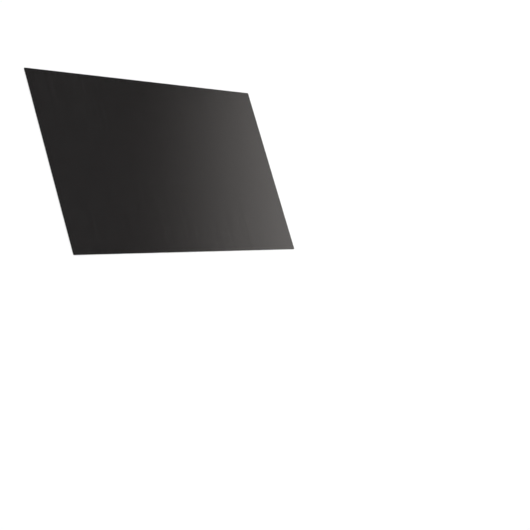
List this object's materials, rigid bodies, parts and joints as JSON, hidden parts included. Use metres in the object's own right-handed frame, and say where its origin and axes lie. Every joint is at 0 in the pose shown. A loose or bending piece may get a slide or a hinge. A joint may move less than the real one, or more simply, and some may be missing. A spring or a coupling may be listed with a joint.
{
  "type": "privacy filter",
  "caption": "Thin flat rectangular sheet of dark see-through louvre film that lies over a laptop display and darkens it for anyone at the side.",
  "frame": {"origin": "middle of the back face, which goes against the display", "axes": "+X along the width, +Y along the height towards the top edge, +Z out of the front face towards the viewer"},
  "size_m": [0.31, 0.1746, 0.0005],
  "materials": {
    "smoke_film": "dark smoke tint, see-through, smooth satin gloss"
  },
  "bodies": {
    "root": {"filter_sheet": "smoke_film"}
  },
  "joints": []
}
